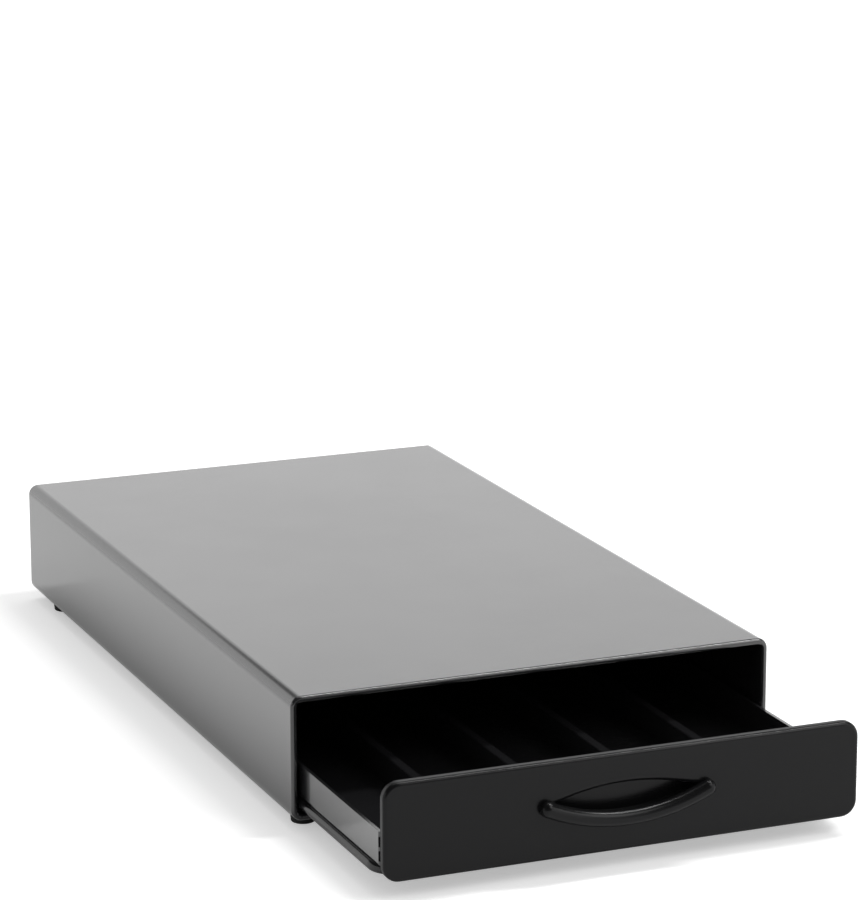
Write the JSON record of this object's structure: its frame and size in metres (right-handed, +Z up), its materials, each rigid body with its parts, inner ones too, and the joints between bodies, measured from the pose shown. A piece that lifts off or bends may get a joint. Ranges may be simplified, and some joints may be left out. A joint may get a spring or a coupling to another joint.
{
  "type": "coffee pod drawer",
  "caption": "Low black sheet-steel drawer stand for a coffee machine, with an open-fronted case on rubber feet and a pull-out tray with lanes for coffee pods.",
  "frame": {"origin": "on the worktop under the feet, in the middle of the bounding box with the drawer standing open by 97.5 mm", "axes": "+X to the user's right when facing the drawer front, -Y towards the user, +Z up"},
  "size_m": [0.236, 0.5066, 0.063],
  "materials": {
    "case_paint": "semi-gloss black powder coat on bent sheet steel",
    "front_paint": "satin black powder coat on the stamped drawer front",
    "tray_paint": "semi-gloss black powder coat",
    "inner_paint": "matt black powder coat inside the case",
    "wire_paint": "gloss black coated round wire",
    "rivet_paint": "black steel rivets",
    "rubber": "matt black moulded rubber",
    "nylon": "black moulded nylon",
    "zinc_steel": "bright zinc-plated steel"
  },
  "bodies": {
    "case": {"case_shell": "case_paint", "seam_strip": "inner_paint", "seam_rivets": "rivet_paint", "rear_panel": "case_paint", "rear_panel_rivets": "rivet_paint", "guide_channel_left": "inner_paint", "guide_channel_right": "inner_paint", "stop_tab_left": "inner_paint", "stop_tab_right": "inner_paint", "stop_tab_rivets": "rivet_paint", "rear_bumper_left": "rubber", "rear_bumper_right": "rubber", "foot_front_left": "rubber", "foot_front_right": "rubber", "foot_rear_left": "rubber", "foot_rear_right": "rubber", "foot_screws": "zinc_steel", "foot_nuts": "zinc_steel"},
    "drawer": {"drawer_front": "front_paint", "tray_bottom": "tray_paint", "tray_wall_left": "tray_paint", "tray_wall_right": "tray_paint", "tray_wall_front": "tray_paint", "tray_wall_rear": "tray_paint", "runner_frame": "wire_paint", "runner_pad_left": "nylon", "runner_pad_right": "nylon", "lane_divider_1": "tray_paint", "lane_divider_2": "tray_paint", "lane_divider_3": "tray_paint", "lane_divider_4": "tray_paint", "panel_screws": "zinc_steel", "panel_weld_nuts": "zinc_steel"}
  },
  "joints": [
    {"name": "drawer_slide", "type": "slide", "parent": "case", "child": "drawer", "axis": [0, -1, 0], "range_m": [-0.0975, 0.2325]}
  ]
}
